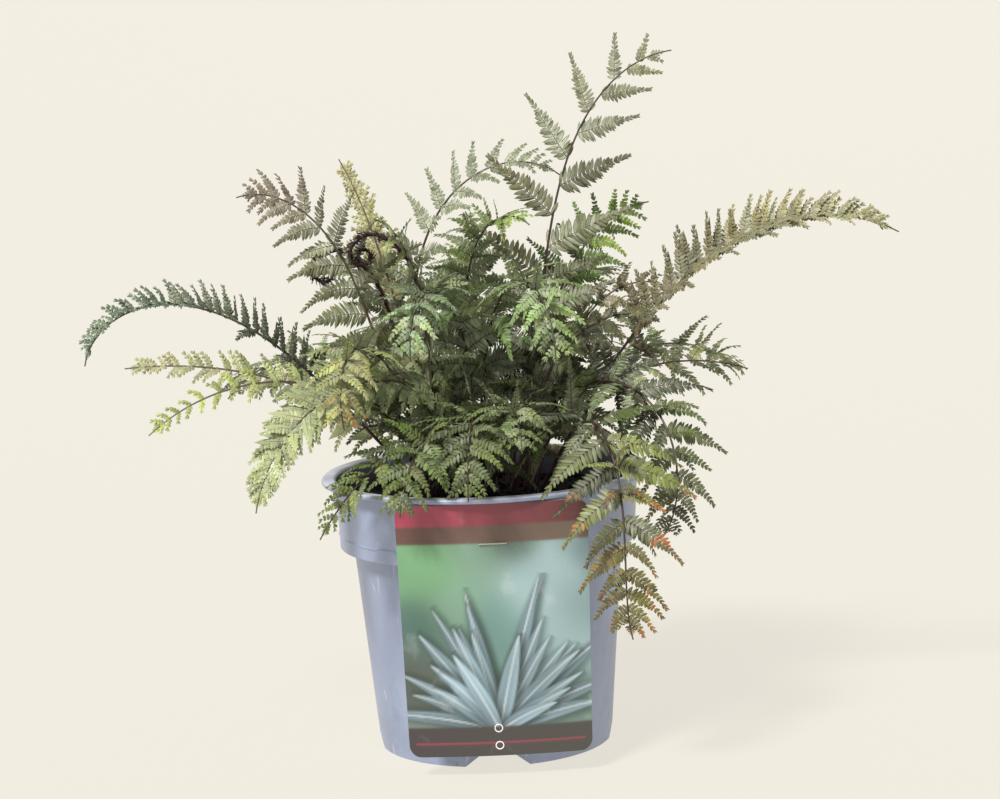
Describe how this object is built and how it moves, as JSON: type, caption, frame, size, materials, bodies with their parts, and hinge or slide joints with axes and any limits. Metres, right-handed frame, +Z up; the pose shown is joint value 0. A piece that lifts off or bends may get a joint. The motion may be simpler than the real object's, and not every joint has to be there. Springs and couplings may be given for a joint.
{
  "type": "potted japanese painted fern",
  "caption": "Japanese painted fern in a nursery pot: arching fronds of cut, silvery green leaflets on dark stems, standing in soil, with a blank picture card stapled to the pot.",
  "frame": {"origin": "middle of the pot's base, on the ground", "axes": "+Z up, the label faces -Y, +X to the right of the label"},
  "size_m": [0.4141, 0.2911, 0.3635],
  "materials": {
    "pot": "grey-lilac injection-moulded plastic, satin, finely scuffed",
    "peat": "damp black peat, crumbly",
    "label_card": "printed plastic card, semi-gloss",
    "staple_wire": "thin steel wire",
    "frond": "leaf, silvery green to olive with rusty tips, dark maroon stems",
    "young_frond": "rolled young frond, dark maroon, scaly"
  },
  "bodies": {
    "root": {"frond_arch_middle": "frond", "frond_back_1": "frond", "frond_back_2": "frond", "frond_back_3": "frond", "frond_back_4": "frond", "frond_back_5": "frond", "frond_back_6": "frond", "frond_back_7": "frond", "frond_back_8": "frond", "frond_centre_blue": "frond", "frond_centre_face": "frond", "frond_front_centre": "frond", "frond_front_left": "frond", "frond_front_middle": "frond", "frond_left_arch": "frond", "frond_left_back": "frond", "frond_left_drop": "frond", "frond_left_low": "frond", "frond_left_pale": "frond", "frond_left_tan": "frond", "frond_left_upper": "frond", "frond_right_arch": "frond", "frond_right_brown": "frond", "frond_right_dark": "frond", "frond_right_flat": "frond", "frond_right_green": "frond", "frond_right_mass": "frond", "frond_rim_left": "frond", "frond_rim_right": "frond", "frond_tall_right": "frond", "frond_top_left": "frond", "frond_top_middle": "frond", "label": "label_card", "label_staple": "staple_wire", "pot": "pot", "soil": "peat", "young_frond_left": "young_frond", "young_frond_middle": "young_frond"}
  },
  "joints": []
}
